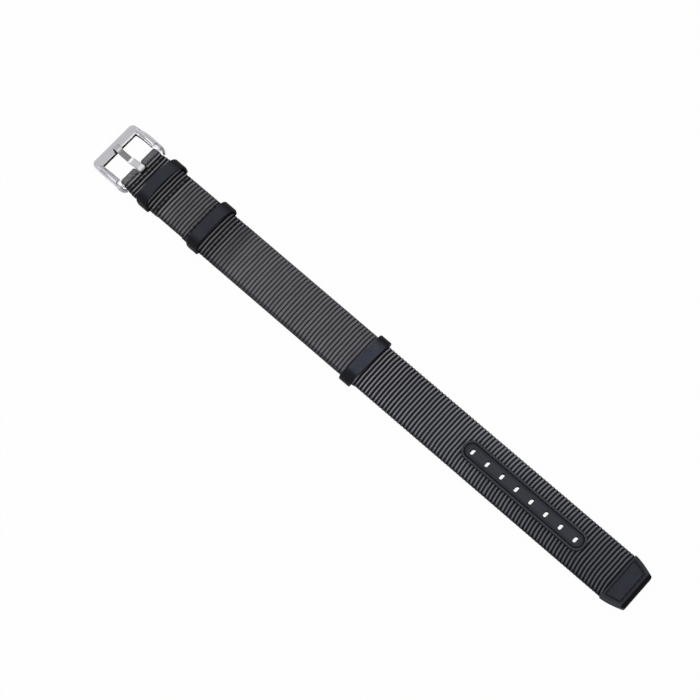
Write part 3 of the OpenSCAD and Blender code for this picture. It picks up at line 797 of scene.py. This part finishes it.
class Tree:
    """Short calls for building a material's nodes."""

    def __init__(self, name):
        self.material = bpy.data.materials.new(name)
        self.material.use_nodes = True
        self.tree = self.material.node_tree
        self.tree.nodes.clear()

    def add(self, kind, settings=(), **inputs):
        """A new node. Its inputs go by their names, or by their places as i0, i1 and so on."""
        node = self.tree.nodes.new("ShaderNode" + kind)
        for key, value in dict(settings).items():
            setattr(node, key, value)
        for key, value in inputs.items():
            by_place = key[0] == "i" and key[1:].isdigit()
            self.put(node.inputs[int(key[1:]) if by_place else key.replace("_", " ")], value)
        return node

    def put(self, socket, value):
        if isinstance(value, bpy.types.NodeSocket):
            self.tree.links.new(value, socket)
        else:
            socket.default_value = value

    def math(self, operation, a, b=0.0, clamp=False):
        return self.add("Math", {"operation": operation, "use_clamp": clamp}, i0=a, i1=b).outputs[0]

    def noise(self, vector, scale, detail=3.0, rough=0.5):
        return self.add("TexNoise", Vector=vector, Scale=scale, Detail=detail, Roughness=rough).outputs["Fac"]

    def ramp(self, fac, *stops):
        node = self.add("ValToRGB", Fac=fac)
        elements = node.color_ramp.elements
        while len(elements) < len(stops):
            elements.new(0.5)
        for element, (position, colour) in zip(elements, stops):
            element.position = position
            element.color = opaque(colour)
        return node.outputs["Color"]

    def mix(self, fac, a, b, blend="MIX"):
        node = self.add("Mix", {"data_type": "RGBA", "blend_type": blend})
        self.put(node.inputs[0], fac)
        self.put(node.inputs[6], a)
        self.put(node.inputs[7], b)
        return node.outputs[2]

    def bump(self, height, distance, strength=1.0, normal=None):
        node = self.add("Bump", Height=height, Distance=distance, Strength=strength)
        if normal is not None:
            self.put(node.inputs["Normal"], normal)
        return node.outputs["Normal"]

    def surface(self, **inputs):
        shader = self.add("BsdfPrincipled", **inputs)
        output = self.add("OutputMaterial")
        self.tree.links.new(shader.outputs[0], output.inputs[0])
        return self.material


def separate(t, vector):
    return t.add("SeparateXYZ", Vector=vector).outputs


# The webbing's colour by the painted height of a rib, from painted shade in the grooves to painted light on the crests.
RIB_SHADING = (
    (0.0, (0.006, 0.006, 0.008)),
    (0.5, (0.013, 0.013, 0.016)),
    (0.75, (0.07, 0.069, 0.073)),
    (0.87, (0.19, 0.187, 0.196)),
    (1.0, (0.4, 0.393, 0.412)),
)
# Painted light and shade along the strap: how much paler or darker the webbing is painted, by shares of PAINTED_LIGHT_L
# from the bar.
PAINTED_LIGHT_L = 240.0
PAINTED_LIGHT_ALONG = (
    (0.0, (1, 1, 1)),
    (0.03, (0.76, 0.76, 0.77)),
    (0.12, (0.87, 0.87, 0.9)),
    (0.165, (0.74, 0.74, 0.77)),
    (0.195, (0.64, 0.64, 0.67)),
    (0.22, (0.98, 0.98, 1.0)),
    (0.45, (0.93, 0.94, 0.96)),
    (0.6, (0.91, 0.94, 0.99)),
    (0.69, (0.93, 0.96, 1.0)),
    (0.78, (0.67, 0.7, 0.75)),
    (0.95, (0.41, 0.44, 0.47)),
    (0.99, (0.48, 0.51, 0.54)),
)
YARN, SEAM_BEAT = 0.46, 2.2  # widths across the strap: of a binding yarn, and of a seam's stitch


def nylon():
    """Ribbed webbing: each rib is bound by yarns that run along the strap."""
    t = Tree("nylon_webbing")
    weave = t.add("Attribute", {"attribute_name": "weave"}).outputs["Vector"]
    s, v, h = separate(t, weave)
    rib = t.math("FLOOR", t.math("DIVIDE", s, RIB))
    yarn = t.math("SINE", t.math("ADD", t.math("MULTIPLY", v, math.tau / YARN), t.math("MULTIPLY", rib, math.pi)))
    grain = t.noise(weave, 3.0, 4.0, 0.6)
    per_rib = t.noise(t.add("CombineXYZ", X=rib, Y=t.math("MULTIPLY", v, 0.05), Z=0.0).outputs[0], 1.7, 1.0)
    colour = t.ramp(h, *RIB_SHADING)
    shade = t.math("ADD", 0.55, t.math("ADD", t.math("MULTIPLY", per_rib, 0.5), t.math("MULTIPLY", grain, 0.5)))
    shade = t.math("ADD", shade, t.math("MULTIPLY", yarn, 0.12))

    # The smooth fold over the bar is mottled.
    smooth_part = t.math("SUBTRACT", 1.0, t.math("DIVIDE", s, 1.5), clamp=True)
    mottle = t.math("SUBTRACT", t.noise(weave, 1.6, 2.0, 0.7), 0.45)
    shade = t.math("ADD", shade, t.math("MULTIPLY", t.math("MULTIPLY", mottle, 2.6), smooth_part))

    # Painted light across the strap: one side is painted a little paler than the other, and the sides change over along
    # the tail.
    painted_light_tilt = t.add("MapRange", Value=s, From_Min=135.0, From_Max=180.0, To_Min=-0.012, To_Max=0.02).outputs[0]
    shade = t.math("MULTIPLY", shade, t.math("ADD", 1.27, t.math("MULTIPLY", v, painted_light_tilt)))

    # The sewn rows are dark and uneven.
    wave = t.math("SINE", t.math("MULTIPLY", v, math.tau / SEAM_BEAT))
    beat = t.math("ADD", t.math("MULTIPLY", wave, 0.4), t.math("MULTIPLY", grain, 1.1))
    stretched = 0.55  # the first row lies where the ribs are stretched
    for name, x in SEAMS.items():
        away = t.math("ABSOLUTE", t.math("SUBTRACT", s, x - stretched if name == "seam_bar" else x))
        near = t.math("SUBTRACT", 1.0, t.math("DIVIDE", away, 0.9), clamp=True)
        dark = t.math("MULTIPLY", t.math("MULTIPLY", near, beat), 1.3, clamp=True)
        shade = t.math("MULTIPLY", shade, t.math("SUBTRACT", 1.0, dark))

    # Painted light and shade along the strap.
    painted_shading = t.ramp(t.math("DIVIDE", s, PAINTED_LIGHT_L), *PAINTED_LIGHT_ALONG)
    colour = t.mix(1.0, colour, painted_shading, "MULTIPLY")
    colour = t.mix(1.0, colour, t.add("CombineXYZ", X=shade, Y=shade, Z=shade).outputs[0], "MULTIPLY")
    normal = t.bump(yarn, 0.00008, 0.8)
    normal = t.bump(t.noise(weave, 9.0, 3.0, 0.6), 0.00005, 0.5, normal)
    return t.surface(Base_Color=colour, Roughness=0.75, Normal=normal, Specular_IOR_Level=0.15)


def leather_material(name, box=None, tone=1.0):
    """Smooth near-black leather with fine grain, a little painted highlight on its rims, and painted shade far from
    the strap's middle, where the keepers bend round. A box is the groove of the stitches sewn round the tip, in
    metres: its middle, length, half width and the slope of its sides; the groove gets painted shade."""
    t = Tree(name)
    place = t.add("TexCoord").outputs["Object"]
    cells = t.add("TexVoronoi", {"feature": "DISTANCE_TO_EDGE"}, Vector=place, Scale=2600.0).outputs["Distance"]
    broad = t.noise(place, 260.0, 4.0, 0.6)
    fine = t.noise(place, 1800.0, 3.0, 0.6)
    dark_tone, light_tone = ([c * tone for c in colour] for colour in ((0.0145, 0.017, 0.027), (0.023, 0.0265, 0.041)))
    colour = t.ramp(broad, (0.3, dark_tone), (0.7, light_tone))
    x, y, _ = separate(t, place)
    from_middle = t.math("ABSOLUTE", y)
    # Painted shade: more than 6 mm from the strap's middle, where the keepers bend round, the leather is painted
    # darker.
    ends = t.math("DIVIDE", t.math("SUBTRACT", from_middle, 0.006), 0.0045, clamp=True)
    colour = t.mix(t.math("MULTIPLY", ends, 0.3), colour, (0.006, 0.006, 0.008, 1))
    # Below 0 the edge attribute paints a highlight on the rims; above 0 it paints them dark: edge paint, and painted
    # shade at the keepers' ends and in the grooves.
    edge = t.add("Attribute", {"attribute_name": "edge"}).outputs["Fac"]
    colour = t.mix(t.math("MULTIPLY", edge, -1.0, clamp=True), colour, (0.05, 0.052, 0.06, 1))
    dark = t.math("MAXIMUM", edge, 0.0)
    if box:
        end = t.math("DIVIDE", t.math("SUBTRACT", x, box["dark_from"]), 0.0006, clamp=True)
        dark = t.math("MAXIMUM", dark, end)
        # Painted shade in the groove of the stitches round the tip.
        along = t.math("SUBTRACT", x, box["x"])
        side = t.math("ADD", box["half"], t.math("MULTIPLY", along, box["slope"]))
        past_end = t.math("SUBTRACT", t.math("ABSOLUTE", along), box["length"] / 2)
        out = t.math("MAXIMUM", past_end, t.math("SUBTRACT", from_middle, side))
        channel = t.math("SUBTRACT", 1.0, t.math("DIVIDE", t.math("ABSOLUTE", out), 0.00045), clamp=True)
        dark = t.math("MAXIMUM", dark, t.math("MULTIPLY", channel, t.math("ADD", 0.3, broad)))
    dark_share = t.math("MINIMUM", dark, 1.0)
    colour = t.mix(dark_share, colour, opaque(DARKEST))
    rough = t.math("ADD", 0.42, t.math("MULTIPLY", fine, 0.16))
    rough = t.math("ADD", rough, t.math("MULTIPLY", dark, 0.2))
    normal = t.bump(t.math("MINIMUM", cells, 0.12), 0.0003, 0.5)
    normal = t.bump(broad, 0.0004, 0.35, normal)
    if box:
        normal = t.bump(t.math("SUBTRACT", 1.0, channel), 0.00015, 0.8, normal)
    glance = t.mix(dark_share, (1, 1, 1, 1), (0.3, 0.3, 0.3, 1))
    return t.surface(Base_Color=colour, Roughness=rough, Specular_Tint=glance, Normal=normal, Specular_IOR_Level=0.35)


def thread_material():
    """Black sewing thread with a twist."""
    t = Tree("black_thread")
    place = t.add("TexCoord").outputs["Object"]
    twist = t.add("TexWave", {"bands_direction": "DIAGONAL"}, Vector=place, Scale=900.0, Distortion=0.5).outputs["Fac"]
    colour = t.ramp(twist, (0.0, DARKEST), (1.0, (0.016, 0.016, 0.02)))
    return t.surface(Base_Color=colour, Roughness=0.6, Normal=t.bump(twist, 0.00006, 0.7), Specular_IOR_Level=0.2)


def steel_material(name, direction, colour, rough):
    """Finely brushed steel; direction stretches the brushing, and the shade attribute paints shade or highlights into
    it: darker and duller, or lighter and smoother.
    """
    t = Tree(name)
    place = t.add("TexCoord").outputs["Object"]
    stretched = t.add("Mapping", Vector=place, Scale=direction).outputs[0]
    lines = t.noise(stretched, 900.0, 4.0, 0.6)
    cloud = t.noise(place, 180.0, 3.0, 0.5)
    deeper = (colour[0] * 0.82, colour[1] * 0.82, colour[2] * 0.84)
    tint = t.mix(t.math("MULTIPLY", lines, 0.35), opaque(colour), opaque(deeper))
    roughness = t.math("ADD", rough - 0.05, t.math("MULTIPLY", cloud, 0.12))
    shade = t.add("Attribute", {"attribute_name": "shade"}).outputs["Fac"]
    painted_highlight = t.math("MULTIPLY", shade, -1.0, clamp=True)
    painted_shade = t.math("MAXIMUM", shade, 0.0)
    tint = t.mix(painted_shade, tint, (0.045, 0.045, 0.05, 1))
    tint = t.mix(painted_highlight, tint, (1, 1, 1, 1))
    roughness = t.math("SUBTRACT", roughness, t.math("MULTIPLY", painted_highlight, 0.1))
    glance = t.mix(painted_shade, (1, 1, 1, 1), (0.25, 0.25, 0.25, 1))
    normal = t.bump(lines, 0.00002, 0.25)
    return t.surface(Base_Color=tint, Metallic=1.0, Roughness=roughness, Specular_Tint=glance, Normal=normal)


def paint(obj, material):
    obj.data.materials.clear()
    obj.data.materials.append(material)


NYLON, LEATHER, THREAD = nylon(), leather_material("black_leather"), thread_material()
# Painted light: keeper 3's leather is painted 1.85 times lighter than the rest, a painted sheen.
PAINTED_LIGHT_LEATHER = leather_material("black_leather_keeper_3", tone=1.85)
TIP_LEATHER = leather_material(
    "black_leather_tip",
    {
        "dark_from": (TIP_X + TIP_L - TIP_SEAM - MID) * MM,
        "x": ((BOX_X0 + BOX_X1) / 2 - MID) * MM,
        "length": (BOX_X1 - BOX_X0) * MM,
        "half": (BOX_HALF_0 + BOX_HALF_1) / 2 * MM,
        "slope": (BOX_HALF_1 - BOX_HALF_0) / (BOX_X1 - BOX_X0),
    },
)
ACROSS, ALONG = (1.0, 0.04, 1.0), (0.05, 1.0, 1.0)
BRUSHED = steel_material("brushed_steel", ACROSS, (0.71, 0.71, 0.745), 0.24)
POLISHED = steel_material("polished_steel", ACROSS, (0.9, 0.9, 0.92), 0.15)
BRUSHED_LONG = steel_material("brushed_steel_tongue", ALONG, (0.6, 0.6, 0.62), 0.3)


# ---------------------------------------------------------------- bodies


def place(obj, body, node, slot_name, material):
    """Paints a piece and hangs it on its body, or leaves a piece given two bodies in the frame, and hides the imported
    part of the node it stands for.
    """
    paint(obj, material)
    if isinstance(body, tuple):
        a, b, x0, x1 = body
        at(x0, 0, 0)
        at(x1, 0, 0)
        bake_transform(obj)
    else:
        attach(obj, body)
    if node:
        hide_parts(node)


for obj, body, node in webbing.values():
    place(obj, body, node, "webbing", NYLON)
place(fold_piece, "head", None, "webbing", NYLON)
own_leather = {"leather_tip": TIP_LEATHER, "leather_keeper_3": PAINTED_LIGHT_LEATHER}
for name, (obj, body, node) in leather.items():
    place(obj, body, node, "leather", own_leather.get(name, LEATHER))
place(hole_walls, "hole_end", None, "leather", LEATHER)
for name, (parts, body) in stitched.items():
    place(parts.build("thread_" + name), body, name, "thread", THREAD)
place(buckle, "buckle", "buckle_frame", "steel", BRUSHED)
place(tongue, "tongue", "tongue", "steel", BRUSHED_LONG)
for name in ("bar_barrel", "bar_spring", "pin_left", "pin_right"):
    paint(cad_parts[name], POLISHED)


# ---------------------------------------------------------------- floor, light and camera


def floor_material():
    """Pale floor that reads white to the camera and in the metal, and keeps the shadow."""
    t = Tree("floor")
    path = t.add("LightPath").outputs
    seen = t.math("MAXIMUM", path["Is Camera Ray"], path["Is Glossy Ray"])
    diffuse = t.add("BsdfDiffuse", Color=(0.9, 0.9, 0.9, 1)).outputs[0]
    glow = t.add("Emission", Color=(1, 1, 1, 1), Strength=1.0).outputs[0]
    mixed = t.add("MixShader", i0=t.math("MULTIPLY", seen, 0.97), i1=diffuse, i2=glow).outputs[0]
    output = t.add("OutputMaterial")
    t.tree.links.new(mixed, output.inputs[0])
    return t.material


FLOOR_GAP = 0.0002
bpy.ops.mesh.primitive_plane_add(size=6, location=(0, 0, -FLOOR_GAP))
floor = bpy.context.object
floor.name = "floor"
paint(floor, floor_material())

# The world is grey below, paler at the horizon and white above.
world = bpy.data.worlds.new("studio")
bpy.context.scene.world = world
world.use_nodes = True
nodes, links = world.node_tree.nodes, world.node_tree.links
background = nodes["Background"]
background.inputs["Strength"].default_value = 0.75
way = nodes.new("ShaderNodeSeparateXYZ")
sky = nodes.new("ShaderNodeValToRGB")
links.new(nodes.new("ShaderNodeTexCoord").outputs["Generated"], way.inputs[0])
links.new(way.outputs["Z"], sky.inputs["Fac"])
links.new(sky.outputs["Color"], background.inputs["Color"])
sky.color_ramp.elements.new(0.5)
for element, position, grey in zip(sky.color_ramp.elements, (0.05, 0.55), (0.6, 0.8)):
    element.position = position
    element.color = (grey, grey, grey * 1.02, 1)


def from_side(azimuth, elevation):
    """Direction towards a lamp or the camera; angles in degrees."""
    a, e = math.radians(azimuth), math.radians(elevation)
    return Vector((math.sin(a) * math.cos(e), -math.cos(a) * math.cos(e), math.sin(e)))


def aim(obj, back, location):
    """Puts a lamp or the camera at location, looking against the direction back."""
    bpy.context.scene.collection.objects.link(obj)
    obj.location = location
    obj.rotation_mode = "QUATERNION"
    obj.rotation_quaternion = (-back).to_track_quat("-Z", "Y")


def lamp(name, azimuth, elevation, distance, width, height, watts):
    """An oblong soft light that faces the middle of the strap."""
    data = bpy.data.lights.new(name, "AREA")
    data.shape, data.size, data.size_y, data.energy = "RECTANGLE", width, height, watts
    back = from_side(azimuth, elevation)
    aim(bpy.data.objects.new(name, data), back, back * distance)


lamp("key", 338, 36, 0.9, 0.7, 0.25, 0.9)
lamp("fill", 256, 30, 1.1, 0.5, 0.5, 0.4)
lamp("edge", 104, 16, 0.9, 0.25, 0.25, 0.6)

CAMERA_AZIMUTH, CAMERA_ELEVATION, CAMERA_DISTANCE, LENS = 41.992, 72, 0.9, 124.76
LOOKS_AT = Vector((-8.25 * MM, -0.26 * MM, 0))
camera_data = bpy.data.cameras.new("camera")
camera_data.lens, camera_data.sensor_width = LENS, 36
camera_data.clip_start, camera_data.clip_end = 0.01, 20
camera = bpy.data.objects.new("camera", camera_data)
back = from_side(CAMERA_AZIMUTH, CAMERA_ELEVATION)
aim(camera, back, LOOKS_AT + back * CAMERA_DISTANCE)
bpy.context.scene.camera = camera
bpy.context.scene.view_settings.view_transform = "Standard"
